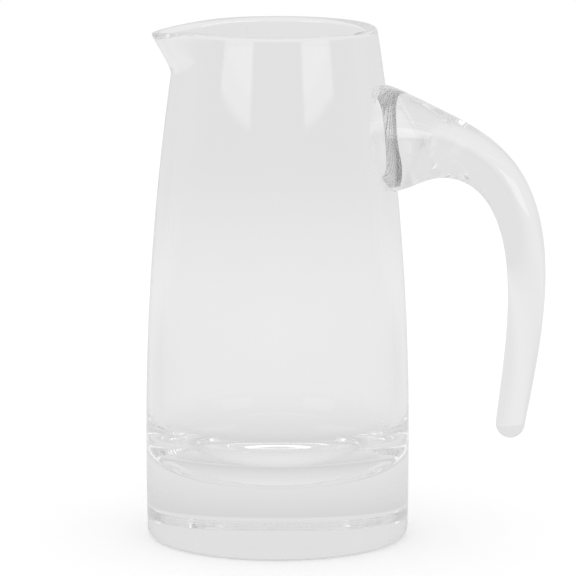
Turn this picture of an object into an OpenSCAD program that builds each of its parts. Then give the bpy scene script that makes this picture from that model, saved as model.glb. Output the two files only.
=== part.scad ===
// Glass beer pitcher: a tapering jug with a heavy base and a pulled pouring lip,
// and a solid glass handle that is fused to the wall at its flared root and ends free.
// Sizes are in millimetres. The jug stands on z = 0 around the Z axis.
// The handle points along +X and the lip along -X.

/* [Jug] */
// Height from the foot to the rim
jug_height = 200; // [170:1:240]
// Outer diameter at the widest level
belly_diameter = 103; // [90:1:125]
// Height of the widest level above the foot
belly_height = 39; // [25:1:60]
// Outer diameter at the rim
rim_diameter = 77; // [66:1:90]
// How far the wall draws in again from the widest level to the foot, on the radius
foot_draw = 0.4; // [0:0.1:3]
// Rounding of the outer bottom edge
foot_round = 1.5; // [1:0.5:6]
// Width of the flat ring that the jug stands on
foot_ring = 4.6; // [2:0.2:12]

/* [Glass] */
// Wall thickness at the rim
rim_wall = 4.2; // [2:0.1:5]
// Wall thickness just above the base
lower_wall = 6; // [3:0.1:8]
// Height of the floor of the hollow above the foot
base_thickness = 24.4; // [14:0.2:36]
// Rounding between the floor of the hollow and its wall
floor_round = 25; // [8:0.5:30]
// Depth of the shallow dome under the base
punt_depth = 3.2; // [0.5:0.1:5]

/* [Pouring lip] */
// How far the lip stands out beyond the rim
lip_reach = 11.4; // [5:0.2:16]
// How far below the rim the lip starts to leave the wall
lip_height = 18.5; // [12:0.5:30]
// How far the tip of the lip hangs below the rim
lip_droop = 2.9; // [0:0.1:5]
// Half of the angle that the lip takes up around the rim, in degrees
lip_half_angle = 50; // [30:2.5:60]
// Rounding of the tip seen from above, in degrees around the rim
lip_tip_round = 13; // [2:0.5:20]
// Height over which the lip curves out of the wall
lip_blend = 1.5; // [1:0.5:14]

/* [Handle] */
// Distance from the rim down to the middle of the handle's root
root_drop = 42.5; // [34:0.5:56]
// Height from the handle's lower end up to its root, between centres
grip_length = 111; // [80:1:116]
// Clear space between the widest level of the jug and the handle's lower end
finger_gap = 34.6; // [28:0.2:50]
// Radius of the handle where the flare has died away, extended back to the wall
shoulder_radius = 9.9; // [7:0.1:12]
// Radius of the handle's rounded lower end
tip_radius = 5.65; // [4.5:0.05:8]
// How much wider the flared root is than the rod that leaves it, on the radius
flare = 10.7; // [6:0.1:14]
// Distance from the wall over which the flare dies away on top of the rod
flare_over = 15.5; // [10:0.5:24]
// Distance from the wall over which the flare dies away under the rod
flare_under = 23.5; // [12:0.5:30]
// Distance from the wall over which the flare dies away at the sides of the rod
flare_side = 12.5; // [9:0.5:24]
// Length of the centre line's straight pull away from the wall
shoulder_pull = 69.7; // [50:0.1:84]
// Angle at which the centre line leaves the wall, above the level
shoulder_angle = 3; // [-4:0.5:8]
// Length of the centre line's straight pull at the lower end
grip_pull = 40; // [30:1:72]
// Angle at which the lower end leans in towards the jug
grip_lean = 8.2; // [0:0.2:14]

/* [Hidden] */
$fn = 144;

belly_r = belly_diameter / 2;
rim_r = rim_diameter / 2;

// Evenly spaced values from a to b, with both ends and without them
function spread(a, b, steps) = [for (i = [0 : steps]) a + (b - a) * i / steps];
function between(a, b, steps) = [for (i = [1 : steps - 1]) a + (b - a) * i / steps];

// Points along a circular arc in the half-plane of the profile
function arc(centre, radius, from, to, steps) =
    [for (a = spread(from, to, steps)) centre + radius * [cos(a), sin(a)]];

// A list without its first entry
function rest(list) = [for (i = [1 : len(list) - 1]) list[i]];

// Outside of the wall: a long curve that narrows upwards, and a slight draw below the belly
narrowing_height = jug_height - belly_height;
function wall_r(z) =
    z > belly_height
        ? belly_r - (belly_r - rim_r) * pow((z - belly_height) / narrowing_height, 2)
        : belly_r - foot_draw * pow((belly_height - z) / belly_height, 2);

// Lean of the wall from the vertical, in degrees
function wall_lean(z) =
    atan(2 * (belly_r - rim_r) * max(0, z - belly_height) / pow(narrowing_height, 2));

// Thickness of the wall, square to its surface
function wall_at(z) =
    lower_wall + (rim_wall - lower_wall) * (z - base_thickness) / (jug_height - base_thickness);

// Inside of the wall
function bore_r(z) = wall_r(z) - wall_at(z) / cos(wall_lean(z));

// Both sides of the wall at a list of levels
function outer_wall(levels) = [for (z = levels) [wall_r(z), z]];
function inner_wall(levels) = [for (z = levels) [bore_r(z), z]];

// The fire-polished rim is a half round that runs into both sides of the wall
rim_steps = 5;
rim_round = rim_wall / 2;
rim_z = jug_height - rim_round;
rim_lean = wall_lean(rim_z);
rim_centre = [wall_r(rim_z) - rim_round / cos(rim_lean), rim_z];
rim = concat(
    arc(rim_centre, rim_round, rim_lean, 90, rim_steps),
    rest(arc(rim_centre, rim_round, 90, 180 + rim_lean, rim_steps)));

// The collar is the top of the profile, from the level where the lip starts
collar_steps = 9;
lip_foot = jug_height - lip_height;
collar_top = rim_z - rim_round;
collar = concat(
    outer_wall(spread(lip_foot, collar_top, collar_steps)), rim,
    inner_wall(spread(collar_top, lip_foot, collar_steps)));

// The jug stands on a flat ring around a dome that rises without a crease
wall_steps = 18;
foot_inner_r = wall_r(foot_round) - foot_round;
punt_r = foot_inner_r - foot_ring;
punt = [for (r = spread(0, punt_r, 12)) [r, punt_depth * (1 + cos(180 * r / punt_r)) / 2]];
foot_edge = arc([foot_inner_r, foot_round], foot_round, -90, 0, 6);
outer_side = concat(foot_edge, outer_wall(between(foot_round, lip_foot, wall_steps)));

// The hollow ends in a round bowl with a small flat floor
floor_top = base_thickness + floor_round;
floor_edge = arc([bore_r(floor_top) - floor_round, floor_top], floor_round, 0, -90, 14);
inner_side = concat(inner_wall(between(lip_foot, floor_top, wall_steps)), floor_edge);
jug_profile = concat(punt, outer_side, collar, inner_side, [[0, base_thickness]]);

// Closed skin over a row of rings with equal counts of points, capped at both ends
function middle(ring) = [for (p = ring) 1] * ring / len(ring);
module loft(rings) {
    rows = len(rings);
    sides = len(rings[0]);
    points = concat(
        [for (ring = rings) for (p = ring) p], [middle(rings[0]), middle(rings[rows - 1])]);
    skin = [
        for (i = [0 : rows - 2]) for (j = [0 : sides - 1])
            let (k = (j + 1) % sides, a = i * sides, b = a + sides)
            each [[a + j, b + j, b + k], [a + j, b + k, a + k]]];
    first_cap = [
        for (j = [0 : sides - 1]) [rows * sides, j, (j + 1) % sides]];
    last_cap = [
        for (j = [0 : sides - 1])
            let (a = (rows - 1) * sides)
            [rows * sides + 1, a + (j + 1) % sides, a + j]];
    polyhedron(points, concat(skin, first_cap, last_cap));
}

// The lip is a beak: nearly straight sides that leave the rim at a tangent and meet in a round.
// A window around the rim and a rise up the wall share out its reach and its droop.
lip_columns = 40;
function eased(a) = sqrt(a * a + lip_tip_round * lip_tip_round) - lip_tip_round;
function lip_window(a) = pow(max(0, 1 - eased(a) / eased(lip_half_angle)), 2);
function curved_rise(h) = sqrt(h * h + lip_blend * lip_blend) - lip_blend;
function lip_rise(z) = curved_rise(max(0, z - lip_foot)) / curved_rise(lip_height);
function lip_point(p, a) =
    let (share = lip_window(a) * lip_rise(p[1]), r = p[0] + lip_reach * share)
    [-r * cos(a), r * sin(a), p[1] - lip_droop * share];

module lip() {
    loft([for (a = spread(-lip_half_angle, lip_half_angle, lip_columns))
        [for (p = collar) lip_point(p, a)]]);
}

// Wedge of the plain collar that the lip takes the place of
module lip_gap() {
    far = 2 * rim_r;
    side = far * tan(lip_half_angle);
    translate([0, 0, lip_foot])
        linear_extrude(2 * lip_height)
            polygon([[0, 0], [-far, side], [-far, -side]]);
}

module jug() {
    color("gainsboro") {
        difference() {
            rotate_extrude() polygon(jug_profile);
            lip_gap();
        }
        lip();
    }
}

// The handle's centre line is one cubic curve in the XZ plane, from the wall to the tip
root_z = jug_height - root_drop;
root_wall_r = wall_r(root_z);
tip_z = root_z - grip_length;
handle_start = [root_wall_r, 0, root_z];
handle_end = [belly_r + finger_gap + tip_radius, 0, tip_z];
shoulder_knot = handle_start + shoulder_pull * [cos(shoulder_angle), 0, sin(shoulder_angle)];
grip_knot = handle_end + grip_pull * [sin(grip_lean), 0, cos(grip_lean)];
function unit(v) = v / norm(v);
function centre_line(t) =
    pow(1 - t, 3) * handle_start + 3 * pow(1 - t, 2) * t * shoulder_knot
    + 3 * (1 - t) * t * t * grip_knot + pow(t, 3) * handle_end;
function heading(t) =
    unit(pow(1 - t, 2) * (shoulder_knot - handle_start)
        + 2 * (1 - t) * t * (grip_knot - shoulder_knot) + t * t * (handle_end - grip_knot));

// The rod tapers steadily to its tip
function rod_r(t) = shoulder_radius + (tip_radius - shoulder_radius) * t;

// It flares where it was pressed on the wall. The height runs from -1 under the rod to 1 on top.
// The sides have a flare of their own, which gives way to the other two near the top and the underside.
edge_power = 1.5;
side_power = 1.8;
function edge_share(height) = pow(height, 4);
function flare_length(height) =
    flare_side + ((height > 0 ? flare_over : flare_under) - flare_side) * edge_share(height);
function flare_power(height) = side_power + (edge_power - side_power) * edge_share(height);
function away(t) = norm(centre_line(t) - handle_start);
function flare_at(t, height) = exp(-pow(away(t) / flare_length(height), flare_power(height)));

// How far the round wall lies behind the middle of the root, beside a point of the handle
function recess(p) = sqrt(pow(wall_r(p[2]), 2) - p[1] * p[1]) - root_wall_r;

// The rings stand square to the rod. Towards the root they stand upright and bend with the wall,
// by their share of hug, so that the flare's edge is even all round.
hug_length = (flare_over + flare_under) / 2;
function hug_at(t) = exp(-2 * pow(away(t) / hug_length, edge_power));
handle_rings = 48;
handle_sides = 28;
tip_rings = 6;
root_sink = 1;
function handle_ring(t, centre, along, radius, hug) =
    let (up = unit([-(1 - hug) * along[2], 0, (1 - hug) * along[0] + hug]))
    [for (i = [0 : handle_sides - 1])
        let (
            a = 360 * i / handle_sides,
            r = radius + flare * flare_at(t, cos(a)),
            p = centre + r * (cos(a) * up + [0, sin(a), 0]))
        p + [hug * recess(p), 0, 0]];

module handle_rod() {
    root = handle_ring(0, handle_start - [root_sink, 0, 0], [1, 0, 0], shoulder_radius, 1);
    rod = [for (i = [1 : handle_rings])
        let (t = i / handle_rings)
        handle_ring(t, centre_line(t), heading(t), rod_r(t), hug_at(t))];
    tip = [for (i = [1 : tip_rings])
        let (a = 84 * i / tip_rings, along = heading(1))
        handle_ring(1, handle_end + tip_radius * sin(a) * along, along, tip_radius * cos(a), 0)];
    loft(concat([root], rod, tip));
}

// The root is cut to the jug's own outside, so the two pieces meet face to face
module handle() {
    color("whitesmoke") difference() {
        handle_rod();
        rotate_extrude() polygon(concat([[0, 0]], outer_side, collar, [[0, lip_foot]]));
    }
}

jug();
handle();
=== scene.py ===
# %% [markdown]
# # A glass beer pitcher
# The pitcher is two pieces of clear, hot-worked glass: a blown jug with a heavy base and a pulled
# pouring lip, and a solid handle that was pressed on the wall while soft and left free below.
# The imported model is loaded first. It is a fixed frame in metres, so every piece below is
# built straight in its place, and nothing has to be fitted afterwards.

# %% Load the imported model
import math
import bpy
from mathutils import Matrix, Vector


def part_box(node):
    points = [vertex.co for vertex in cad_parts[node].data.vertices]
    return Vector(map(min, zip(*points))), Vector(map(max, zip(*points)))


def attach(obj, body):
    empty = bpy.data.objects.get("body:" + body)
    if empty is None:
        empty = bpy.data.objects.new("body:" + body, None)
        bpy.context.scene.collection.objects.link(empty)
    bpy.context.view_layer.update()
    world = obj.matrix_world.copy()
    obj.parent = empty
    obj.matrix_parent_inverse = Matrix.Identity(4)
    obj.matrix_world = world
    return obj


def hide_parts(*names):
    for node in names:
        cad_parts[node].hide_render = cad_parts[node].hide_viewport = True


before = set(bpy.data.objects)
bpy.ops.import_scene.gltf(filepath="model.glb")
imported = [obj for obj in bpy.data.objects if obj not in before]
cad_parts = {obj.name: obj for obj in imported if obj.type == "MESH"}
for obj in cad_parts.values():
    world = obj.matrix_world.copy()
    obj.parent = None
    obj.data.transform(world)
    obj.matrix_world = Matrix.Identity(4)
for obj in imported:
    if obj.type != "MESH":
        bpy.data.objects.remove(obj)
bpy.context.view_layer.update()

# %% [markdown]
# ## Sizes of the jug
# The height and the widest diameter are read from the frame. The rest are the sizes of the glass:
# the rim, the wall, the base. Blown glass has no straight lines, so the side is a parabola
# that leaves the widest level upright and narrows towards the rim.
# A function of the height is a better start than a drawn curve here, because the handle's root,
# the inside of the wall and the lip all have to follow the same side.

# %% Outside and inside of the wall
MM = 0.001
jug_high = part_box("jug")[1]
jug_height = jug_high.z
belly_r = jug_high.y
belly_z = 39 * MM
rim_r = 38.5 * MM
foot_draw = 0.4 * MM
rim_wall = 4.2 * MM
lower_wall = 6 * MM
base_thickness = 24.4 * MM


def wall_r(z):
    """Outer radius at a height."""
    if z > belly_z:
        return belly_r - (belly_r - rim_r) * ((z - belly_z) / (jug_height - belly_z)) ** 2
    return belly_r - foot_draw * ((belly_z - z) / belly_z) ** 2


def wall_lean(z):
    """Angle between the side and the vertical."""
    climb = max(0.0, z - belly_z)
    return math.atan(2 * (belly_r - rim_r) * climb / (jug_height - belly_z) ** 2)


def bore_r(z):
    """Inner radius at a height: the wall gets thinner towards the rim."""
    up = (z - base_thickness) / (jug_height - base_thickness)
    wall = lower_wall + (rim_wall - lower_wall) * up
    return wall_r(z) - wall / math.cos(wall_lean(z))


print("wall at the rim and above the base, mm:",
      round((rim_r - bore_r(jug_height)) / MM, 2),
      round((wall_r(base_thickness) - bore_r(base_thickness)) / MM, 2))

# %% [markdown]
# ## The jug's profile
# A blown jug is a body of revolution, so half of its section tells nearly everything. The outline
# runs from the middle of the underside, which is a shallow dome, over the narrow ring that the jug
# stands on and its melted round edge, up the outside, over the fire-polished rim, and down
# the inside into a bowl that is round like the end of an egg.
# Glass shows every flaw of a mesh twice, once as a reflection and once as a bent background.
# Round stretches are therefore true arcs with many points, and each meets the next at a tangent.

# %% Points of the profile
foot_round = 3 * MM
foot_ring = 3.1 * MM
punt_depth = 3.2 * MM
floor_round = 25 * MM
first_ring = 0.5 * MM
steps = {"punt": 40, "ring": 6, "foot": 24, "outside": 110,
         "rim": 16, "inside": 100, "bowl": 36, "floor": 20}


def spread(start, end, count):
    """Evenly spaced values, with both ends."""
    return [start + (end - start) * i / count for i in range(count + 1)]


def arc(centre_r, centre_z, radius, start, end, count):
    """Points of an arc in the half-plane of the profile, angles in radians."""
    return [(centre_r + radius * math.cos(a), centre_z + radius * math.sin(a))
            for a in spread(start, end, count)]


quarter = math.pi / 2
rim_round = rim_wall / 2
rim_z = jug_height - rim_round
rim_lean = wall_lean(rim_z)
floor_top = base_thickness + floor_round

foot_inner = wall_r(foot_round) - foot_round
punt_r = foot_inner - foot_ring
punt = [(r, punt_depth * (1 + math.cos(math.pi * r / punt_r)) / 2)
        for r in spread(first_ring, punt_r, steps["punt"])]
standing_ring = [(r, 0.0) for r in spread(punt_r, foot_inner, steps["ring"])[1:-1]]
foot_edge = arc(foot_inner, foot_round, foot_round, -quarter, 0, steps["foot"])
outside = [(wall_r(z), z) for z in spread(foot_round, rim_z, steps["outside"])[1:-1]]
rim = arc(wall_r(rim_z) - rim_round / math.cos(rim_lean), rim_z, rim_round,
          rim_lean, math.pi + rim_lean, steps["rim"])
inside = [(bore_r(z), z) for z in spread(rim_z, floor_top, steps["inside"])[1:-1]]
bowl = arc(bore_r(floor_top) - floor_round, floor_top, floor_round, 0, -quarter, steps["bowl"])
floor_disc = [(r, base_thickness) for r in spread(bowl[-1][0], first_ring, steps["floor"])[1:]]
profile = punt + standing_ring + foot_edge + outside + rim + inside + bowl + floor_disc
print("points in the profile:", len(profile))

# %% [markdown]
# ## The pouring lip
# On the real jug the lip is pulled out of the hot rim with a rod, so it is the same wall, only
# displaced. It could be sculpted by hand or pushed out with a lattice, but two short
# curves say it better: a window around the rim, which gives a beak with nearly straight
# sides and a small round tip, and a rise up the wall, which lets the beak leave the side at a
# tangent. Their product shares out how far the wall moves outwards and how far its edge droops.

# %% How the lip moves the wall
lip_height = 18.5 * MM
lip_reach = 11.4 * MM
lip_droop = 2.9 * MM
lip_blend = 1.5 * MM
lip_half_angle = math.radians(50)
lip_tip_round = math.radians(13)


def rounded(value, blend):
    """A straight line through zero whose start is rounded off."""
    return math.sqrt(value * value + blend * blend) - blend


def lip_share(angle, z):
    """How much of the lip's pull reaches a point: 1 at the tip, 0 on the plain wall."""
    around = max(0.0, 1 - rounded(angle, lip_tip_round) / rounded(lip_half_angle, lip_tip_round))
    climb = max(0.0, z - (jug_height - lip_height))
    return around ** 2 * rounded(climb, lip_blend) / rounded(lip_height, lip_blend)


def jug_point(r, z, angle):
    """A point of the profile turned to an angle that is counted from the lip, on -X."""
    share = lip_share(angle, z)
    reach = r + lip_reach * share
    return Vector((-reach * math.cos(angle), reach * math.sin(angle), z - lip_droop * share))


print("lip tip at x =", round(jug_point(rim_r, jug_height, 0).x / MM, 1), "mm")

# %% [markdown]
# ## One helper for both skins
# Both pieces are rows of rings closed by a single point at each end. A lathe or a curve with a
# bevel could make simple ones, but neither can bend the lip or fit the handle's root on the
# round wall. A helper that joins given rings with quads does both, and leaves clean meshes
# with no inner faces.

# %% Skin over a row of rings
def skin(name, first_point, rings, last_point):
    """Closed smooth mesh over rings that have equal counts of points."""
    sides = len(rings[0])
    points = [first_point] + [point for ring in rings for point in ring] + [last_point]
    last = len(points) - 1
    faces = []
    for j in range(sides):
        k = (j + 1) % sides
        faces.append((0, 1 + k, 1 + j))
        for i in range(len(rings) - 1):
            low = 1 + i * sides
            high = low + sides
            faces.append((low + j, low + k, high + k, high + j))
        faces.append((last, last - sides + j, last - sides + k))
    mesh = bpy.data.meshes.new(name)
    mesh.from_pydata(points, [], faces)
    mesh.polygons.foreach_set("use_smooth", [True] * len(mesh.polygons))
    piece = bpy.data.objects.new(name, mesh)
    bpy.context.scene.collection.objects.link(piece)
    print(name, "has", len(points), "points and", len(faces), "faces")
    return piece


# %% The jug
jug_columns = 240
turns = [2 * math.pi * i / jug_columns - math.pi for i in range(jug_columns)]
jug_rings = [[jug_point(r, z, angle) for angle in reversed(turns)] for r, z in profile]
jug = skin("pitcher_jug", Vector((0, 0, punt_depth)), jug_rings, Vector((0, 0, base_thickness)))

# %% [markdown]
# ## The handle
# The handle is a gather of soft glass. It was pressed on the wall, so its root is wide, pulled out
# and bent down, so it thins steadily, and cut off, so its end is round.
# One cubic curve carries the middle of the rod, as one pull of the maker's hand would. The
# radius falls evenly along it, and a flare is added that dies away with the distance from the
# wall: fast at the sides, slower on top, slowest underneath, where the soft glass sagged.
# A curve object with a bevel couldn't do that, so the rod is made ring by ring. At the root the
# rings bend with the wall, and the seat lies a little way inside it, never in the same place.

# %% Centre line and thickness of the rod
root_z = jug_height - 42.5 * MM
root_r = wall_r(root_z)
tip_radius = 5.65 * MM
shoulder_radius = 9.9 * MM
flare = 10.7 * MM
flare_over = 15.5 * MM
flare_under = 23.5 * MM
flare_side = 12.5 * MM
edge_power = 1.5
side_power = 1.8
edge_focus = 4
hug_fade = 2
grip_length = 111 * MM
finger_gap = 34.6 * MM
shoulder_angle = math.radians(3)
grip_lean = math.radians(8.2)
grip_pull = 40 * MM
shoulder_pull = 69.7 * MM
root_start = Vector((root_r, 0, root_z))
tip_end = Vector((belly_r + finger_gap + tip_radius, 0, root_z - grip_length))
shoulder_knot = root_start + shoulder_pull * Vector(
    (math.cos(shoulder_angle), 0, math.sin(shoulder_angle)))
grip_knot = tip_end + grip_pull * Vector((math.sin(grip_lean), 0, math.cos(grip_lean)))


def centre_line(t):
    return ((1 - t) ** 3 * root_start + 3 * (1 - t) ** 2 * t * shoulder_knot
            + 3 * (1 - t) * t * t * grip_knot + t ** 3 * tip_end)


def heading(t):
    slope = ((1 - t) ** 2 * (shoulder_knot - root_start)
             + 2 * (1 - t) * t * (grip_knot - shoulder_knot) + t * t * (tip_end - grip_knot))
    return slope.normalized()


def away(t):
    """Distance of the centre line from the middle of the root."""
    return (centre_line(t) - root_start).length


def flare_at(t, height):
    """Share of the flare that is left, for a height from -1 under the rod to 1 on top of it."""
    edge = height ** edge_focus
    length = flare_side + ((flare_over if height > 0 else flare_under) - flare_side) * edge
    return math.exp(-(away(t) / length) ** (side_power + (edge_power - side_power) * edge))


def hug_at(t):
    """How far a ring still bends with the round wall: 1 on the wall, 0 out on the rod."""
    return math.exp(-hug_fade * (away(t) / ((flare_over + flare_under) / 2)) ** edge_power)


def rod_radius(t):
    return shoulder_radius + (tip_radius - shoulder_radius) * t


root_radius = shoulder_radius + flare
print("root and tip diameters, mm:",
      round(2 * root_radius / MM, 1), round(2 * tip_radius / MM, 1))

# %% Rings of the handle
handle_sides = 96
seat_rings, rod_rings, tip_rings = 14, 150, 16
tip_turn = 0.97 * quarter
root_sink = 0.3 * MM


def handle_ring(centre, forward, radius, hug):
    """Ring square to the rod, or, by its share of hug, standing upright on the round wall."""
    square = Vector((-forward.z, 0, forward.x))
    up = square.lerp(Vector((0, 0, 1)), hug).normalized()
    ring = []
    for j in range(handle_sides):
        a = -2 * math.pi * j / handle_sides
        out = math.cos(a) * up + math.sin(a) * Vector((0, 1, 0))
        point = centre + radius(math.cos(a)) * out
        on_wall = math.sqrt(wall_r(point.z) ** 2 - point.y ** 2)
        point.x += hug * (on_wall - root_r)
        ring.append(point)
    return ring


seat_middle = root_start - Vector((root_sink, 0, 0))
seat = [handle_ring(seat_middle, Vector((1, 0, 0)), lambda height: radius, 1.0)
        for radius in spread(first_ring, root_radius, seat_rings)]
rod = [handle_ring(centre_line(t), heading(t),
                   lambda height: rod_radius(t) + flare * flare_at(t, height), hug_at(t))
       for t in spread(0, 1, rod_rings)]
tip_heading = heading(1)
tip = [handle_ring(tip_end + tip_radius * math.sin(a) * tip_heading, tip_heading,
                   lambda height: tip_radius * math.cos(a), 0.0)
       for a in spread(0, tip_turn, tip_rings)[1:]]
handle = skin("pitcher_handle", seat_middle, seat + rod + tip, tip_end + tip_radius * tip_heading)

# %% [markdown]
# ## Both pieces stand for their CAD nodes
# The skins are finer than the solids that carry the collision, so each one replaces its node.
# The part has no joints: both pieces ride on its only body.

# %% Put the pieces in the frame
for piece, node in ((jug, "jug"), (handle, "handle")):
    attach(piece, "root")
    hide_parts(node)
print("the jug and the handle ride on the only body")

# %% [markdown]
# ## Shader maths as plain expressions
# Node trees are easier to read as formulas. A small class wraps an output socket, and its
# operators add the Math nodes, also where the number comes first, as in `1 - mask`. One method
# adds every other kind of node, so a whole material fits on one screen.

# %% A socket that can be added and multiplied
class Wire:
    """An output socket of a node tree. Arithmetic on it adds Math nodes to the tree."""

    def __init__(self, tree, socket=None):
        self.tree = tree
        self.socket = socket

    def add(self, kind, settings=None, sockets=None, output=0):
        """Add a node: first its settings, then the values or links of its sockets."""
        node = self.tree.nodes.new("ShaderNode" + kind)
        for name, value in (settings or {}).items():
            setattr(node, name, value)
        for key, value in (sockets or {}).items():
            if isinstance(value, Wire):
                self.tree.links.new(value.socket, node.inputs[key])
            else:
                node.inputs[key].default_value = value
        return Wire(self.tree, node.outputs[output] if node.outputs else None)

    def math(self, operation, *values):
        return self.add("Math", {"operation": operation}, dict(enumerate(values)))

    def __add__(self, other):
        return self.math("ADD", self, other)

    def __radd__(self, other):
        return self.math("ADD", other, self)

    def __sub__(self, other):
        return self.math("SUBTRACT", self, other)

    def __rsub__(self, other):
        return self.math("SUBTRACT", other, self)

    def __mul__(self, other):
        return self.math("MULTIPLY", self, other)

    def __rmul__(self, other):
        return self.math("MULTIPLY", other, self)

    def __truediv__(self, other):
        return self.math("DIVIDE", self, other)

    def __rtruediv__(self, other):
        return self.math("DIVIDE", other, self)

    def __lt__(self, other):
        return self.math("LESS_THAN", self, other)

    def __gt__(self, other):
        return self.math("GREATER_THAN", self, other)


def empty_tree(owner):
    """Switch nodes on for a material or a world, and start from nothing."""
    owner.use_nodes = True
    owner.node_tree.nodes.clear()
    return Wire(owner.node_tree)


print("formulas on wires add their own nodes")

# %% [markdown]
# ## The fused root
# The handle was melted on, so between it and the wall there is no surface at all. Two skins
# that face each other there would throw light back and draw black arcs through the root.
# A Boolean union could take them away, but the two pieces stay two nodes. An Alpha of 0 is
# simpler: it switches off the handle's seat and the patch of wall under it. The patch is found by
# plain geometry, as what lies inside the root's circle and within a hair of the jug's side.

# %% Where the two pieces are fused
patch_margin = 0.05 * MM
patch_depth = 0.6 * MM
patch_skin = 0.03 * MM


def place(tree):
    """The three coordinates of a point on the piece, in metres."""
    parts = tree.add("SeparateXYZ", {}, {0: tree.add("TexCoord", output=3)}).socket.node
    return [Wire(tree.tree, output) for output in parts.outputs]


def fused_patch(tree):
    """1 on the wall under the handle's root and on the root's own seat, 0 elsewhere."""
    x, y, z = place(tree)
    above = z - root_z
    inside_root = (y * y + above * above) < (root_radius + patch_margin) ** 2
    climb = z - belly_z
    side_r = belly_r - climb * climb * ((belly_r - rim_r) / (jug_height - belly_z) ** 2)
    height_over_side = tree.math("SQRT", x * x + y * y) - side_r
    on_side = (height_over_side > -patch_depth) * (height_over_side < patch_skin)
    return inside_root * on_side * (x > 0.0)


print("fused patch:", round(2 * (root_radius + patch_margin) / MM, 1), "mm across")

# %% [markdown]
# ## Waves and wear
# A blown wall is never quite even. It keeps slow waves from the blowing, a few hundredths of
# a millimetre high, which make the reflections tremble. A wide noise in a Bump node is enough.
# The ring that the pitcher stands on is scuffed by table tops. Fine noise raises the roughness
# there and nowhere else, and only a little: a matt ring would swallow the light of the base.

# %% Waves of the wall, scuffs of the foot
wave_height = 0.03 * MM
wave_scale = 45.0
scuff_scale = 900.0
scuff_height = 0.4 * MM
scuff_margin = 1 * MM
scuff_least, scuff_range = 0.02, 0.12


def wavy_normal(tree):
    """The slow waves that blown glass keeps."""
    waves = tree.add("TexNoise", {}, {
        "Vector": tree.add("TexCoord", output=3), "Scale": wave_scale, "Detail": 1.0})
    return tree.add("Bump", {}, {"Strength": 1.0, "Distance": wave_height, "Height": waves})


def foot_wear(tree):
    """Roughness: polished glass, and a scuffed ring where the foot slides on tables."""
    x, y, z = place(tree)
    scuffs = tree.add("TexNoise", {}, {
        "Vector": tree.add("TexCoord", output=3), "Scale": scuff_scale, "Detail": 3.0})
    ring = (z < scuff_height) * ((x * x + y * y) > (punt_r - scuff_margin) ** 2)
    return ring * (scuff_least + scuff_range * scuffs)


print("waves", wave_height / MM, "mm high; scuffs up to", scuff_height / MM, "mm above the table")

# %% [markdown]
# ## Clear glass
# Colourless glass has no colour to paint. What makes it look like glass is how it bends light,
# and the faint grey that gathers where light has a long way to go. A Principled shader
# with full transmission does the bending.
# The grey could be mixed into its colour, but then a thin wall and a thick base would be tinted
# alike. A Volume Absorption counts the real way through the glass: about a sixth of the light
# is lost in a metre, so the wall stays clear and only the fused root turns dark.

# %% The glass of both pieces
glass_tone = 0.998
glass_index = 1.5
volume_tone, volume_density = 0.5, 0.36


def grey(tone):
    return (tone, tone, tone, 1)


def clear_glass():
    material = bpy.data.materials.new("clear_glass")
    tree = empty_tree(material)
    surface = tree.add("BsdfPrincipled", {}, {
        "Base Color": grey(glass_tone),
        "Roughness": foot_wear(tree),
        "IOR": glass_index,
        "Transmission Weight": 1.0,
        "Alpha": 1 - fused_patch(tree),
        "Normal": wavy_normal(tree),
    })
    body = tree.add("VolumeAbsorption", {}, {
        "Color": grey(volume_tone), "Density": volume_density})
    tree.add("OutputMaterial", {}, {"Surface": surface, "Volume": body})
    return material


glass = clear_glass()
for piece in (jug, handle):
    piece.data.materials.append(glass)
print(glass.name, "has", len(glass.node_tree.nodes), "nodes")

# %% [markdown]
# ## Camera
# The pitcher was photographed from well over a metre away with a long lens, so its sides
# hardly converge, and from a little above, so the rim and the foot show as flat ellipses.
# A camera can be pushed about by hand until it fits. Four plain numbers, its turn around the
# jug, its distance, its height and its dip, are easier to correct one at a time.

# %% Camera at the photograph's angle
view_turn = math.radians(9)
camera_reach = 1.738
camera_side = 0.0041
camera_height = 0.3979
camera_dip = math.radians(9.809)
camera_lens = 282.3
sensor_width = 36
sideways = Vector((math.cos(view_turn), math.sin(view_turn), 0))
ahead = Vector((-math.sin(view_turn), math.cos(view_turn), 0))
camera = bpy.data.objects.new("camera", bpy.data.cameras.new("camera"))
camera.data.lens = camera_lens
camera.data.sensor_width = sensor_width
camera.location = camera_side * sideways - camera_reach * ahead + Vector((0, 0, camera_height))
look = math.cos(camera_dip) * ahead - Vector((0, 0, math.sin(camera_dip)))
camera.rotation_euler = look.to_track_quat("-Z", "Y").to_euler()
bpy.context.scene.collection.objects.link(camera)
bpy.context.scene.camera = camera
print("camera at", [round(value, 3) for value in camera.location])

# %% [markdown]
# ## What the glass sees
# Clear glass shows its surroundings, bent, so they need as much care as a material. The camera
# itself sees a white floor and a white background. The glass sees the same sweep as it would be
# in a studio, with a painted fall-off of light: pale grey, and a little darker far away.
# The Light Path node tells the kinds of rays apart, so the background gets its white without
# more light on the pitcher. A ray that goes through glass counts as glossy too, so a mirrored
# ray is one that is glossy and not transmitted. The helpers below turn directions and places
# into soft masks.

# %% Kinds of rays and soft masks
sweep_near = 0.84
sweep_far = 0.765


def ray_kinds(tree):
    """Masks of rays straight from the camera, mirrored by the glass, and through the glass."""
    path = tree.add("LightPath").socket.node
    by_camera, glossy, through = (
        Wire(tree.tree, path.outputs["Is " + kind + " Ray"])
        for kind in ("Camera", "Glossy", "Transmission"))
    return by_camera, glossy * (1 - through), through


def reach_along(tree, vector, axis):
    """How far a vector reaches along an axis."""
    sockets = {0: vector, 1: tuple(axis)}
    return tree.add("VectorMath", {"operation": "DOT_PRODUCT"}, sockets, output=1)


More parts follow.
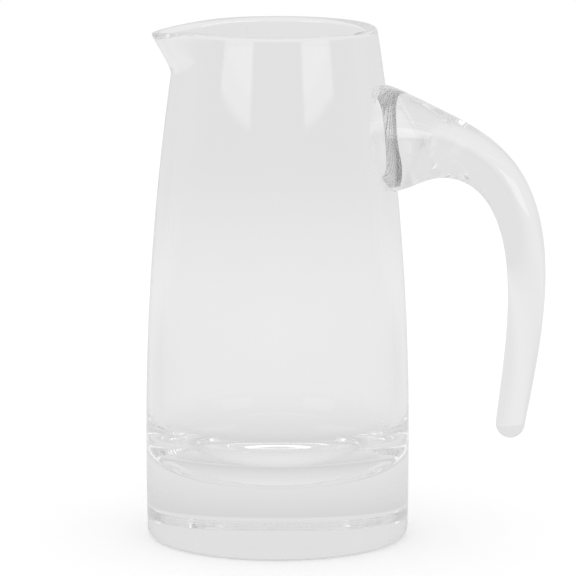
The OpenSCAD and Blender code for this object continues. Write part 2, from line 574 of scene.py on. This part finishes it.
def step_up(tree, value, low, high):
    """0 below low, 1 above high, and a soft edge between them."""
    return tree.add("MapRange", {"interpolation_type": "SMOOTHSTEP"},
                    {"Value": value, "From Min": low, "From Max": high})


def soft_band(tree, value, rise, fall):
    """1 between two soft edges, each given by its start and its end."""
    return step_up(tree, value, *rise) * (1 - step_up(tree, value, *fall))


print("sweep near and far:", sweep_near, sweep_far)

# %% [markdown]
# ## Floor
# The pitcher stands on white paper. For the camera the paper is matt, with a lift that brings it
# just up to white, so the faint shadow at the foot stays.
# For the glass it is the sweep, an emission with light and shade painted in: a painted fall-off
# makes it darker to the back and beside the jug, and a soft painted shadow lies around the foot.
# That painted shadow is what the heavy base shows as grey, and it is painted lighter under the base
# again, as light comes down through the clear glass.

# %% White paper and the painted shade that the glass sees
floor_gap = 0.3 * MM
floor_size = 3.0
floor_lift = 0.39
# Painted shadow around the foot, on the sweep that the glass sees: its depth, and how fast it fades
# outside the foot and under the base.
painted_foot_shadow = 0.23
painted_shadow_outside = 64 * MM
painted_shadow_under = 25 * MM
# Painted fall-off of light on the sweep: a little darker beside the jug, and darker towards the
# back.
painted_flank_shade = 0.06
flank_beside = 0.05, 0.25
flank_behind = 0.25, 0.5
sweep_fall = 0.45, 1.05
paper_tone = 0.86


def pale_floor():
    material = bpy.data.materials.new("pale_floor")
    tree = empty_tree(material)
    by_camera, mirrored, through = ray_kinds(tree)
    spot = tree.add("NewGeometry")
    behind = reach_along(tree, spot, ahead)
    beside = tree.math("ABSOLUTE", reach_along(tree, spot, sideways))
    apart = tree.add("VectorMath", {"operation": "LENGTH"}, {0: spot}, output=1)
    # Painted fall-off of light: darker towards the back, and a little darker beside the jug.
    fall = step_up(tree, behind, *sweep_fall)
    painted_flank_mask = step_up(tree, beside, *flank_beside) * (1 - step_up(tree, behind, *flank_behind))
    # Painted shadow: darkest at the edge of the foot, fading outwards and under the base.
    from_foot = tree.math(
        "MAXIMUM", (apart - belly_r) / painted_shadow_outside, (belly_r - apart) / painted_shadow_under)
    painted_shadow = painted_foot_shadow * tree.math("EXPONENT", 0 - from_foot)
    tone = sweep_near - (sweep_near - sweep_far) * fall
    tone = tone * (1 - painted_shadow) * (1 - painted_flank_shade * painted_flank_mask)
    matt = tree.add("BsdfDiffuse", {}, {"Color": grey(paper_tone)})
    lift = tree.add("Emission", {}, {"Color": by_camera * floor_lift})
    paper = tree.add("AddShader", {}, {0: matt, 1: lift})
    sweep = tree.add("Emission", {}, {"Color": tone})
    tree.add("OutputMaterial", {}, {
        "Surface": tree.add("MixShader", {}, {0: mirrored + through, 1: paper, 2: sweep})})
    return material


bpy.ops.mesh.primitive_plane_add(size=floor_size, location=(0, 0, -floor_gap))
floor = bpy.context.object
floor.name = "floor"
floor.data.materials.append(pale_floor())
print(floor.name, "is", floor_size, "m wide")

# %% [markdown]
# ## The room
# Behind the camera the studio is dimmer than the sweep, which gives the glass its soft darker
# lines. Two tall softboxes stand left and right of the camera: they are the two upright lights
# on the wall. The wall mirrors only a twentieth of them, so they are brighter for mirrored rays
# than through the glass, where they would burn the ends of the bowl out to white.
# A narrow strip overhead draws the white arc in the floor of the jug.
# Area lamps could do the same, but then each would need a size, a place and a power. In the
# world all of it is one formula of the direction, and the light stays even and plain.

# %% Sweep, room, softboxes and overhead strip
room_dark = 0.65
softbox_mirrored = 2.3
softbox_through = 1.2
strip_glow = 1.4
sweep_edge = -0.25, 0.25
ceiling_edge = 0.15, 0.4
ceiling_share = 0.8
table_edge = -0.075, 0.04
softbox_turn = (0.48, 0.58), (1.7, 2.1)
softbox_up = (0.101, 0.118), (0.4, 0.46)
strip_up = (0.61, 0.62), (0.64, 0.65)
strip_back = -0.5, -0.2
least = 0.001


def studio():
    world = bpy.data.worlds.new("studio")
    tree = empty_tree(world)
    by_camera, mirrored = ray_kinds(tree)[:2]
    direction = tree.add("TexCoord")
    side = tree.math("ABSOLUTE", reach_along(tree, direction, sideways))
    back = reach_along(tree, direction, ahead)
    up = reach_along(tree, direction, (0, 0, 1))
    sweep = step_up(tree, back, *sweep_edge)
    ceiling = step_up(tree, up, *ceiling_edge)
    table = 1 - step_up(tree, up, *table_edge)
    bright = 1 - (1 - sweep) * (1 - table) * (1 - ceiling_share * ceiling)
    turn = side / tree.math("MAXIMUM", least - back, least)
    softbox = soft_band(tree, turn, *softbox_turn) * soft_band(tree, up, *softbox_up) * (1 - sweep)
    strip = soft_band(tree, up, *strip_up) * (1 - step_up(tree, back, *strip_back))
    glow = softbox_through + (softbox_mirrored - softbox_through) * mirrored
    room = room_dark + (sweep_far - room_dark) * bright
    room = room + (glow - room_dark) * softbox + (strip_glow - room_dark) * strip
    seen = by_camera + (1 - by_camera) * room
    tree.add("OutputWorld", {}, {"Surface": tree.add("Background", {}, {"Color": seen})})
    return world


bpy.context.scene.world = studio()
print("room", room_dark, "and softboxes", softbox_mirrored, "mirrored,", softbox_through, "through")

# %% [markdown]
# ## Last settings
# Light that enters the root is caught in the wall by total reflection and goes round the jug for
# a metre or more before it finds a way out. With the usual limits on bounces all of it would end
# as black. The limits are raised instead, and the grey of the root is then what the glass really
# takes. The Standard view keeps each tone as it was written. The two boxes of the model are kept,
# hidden.

# %% Finish
light_bounces = 512
scene = bpy.context.scene
scene.view_settings.view_transform = "Standard"
scene.cycles.max_bounces = light_bounces
scene.cycles.transmission_bounces = light_bounces
scene.cycles.glossy_bounces = light_bounces
scene.cycles.transparent_max_bounces = light_bounces
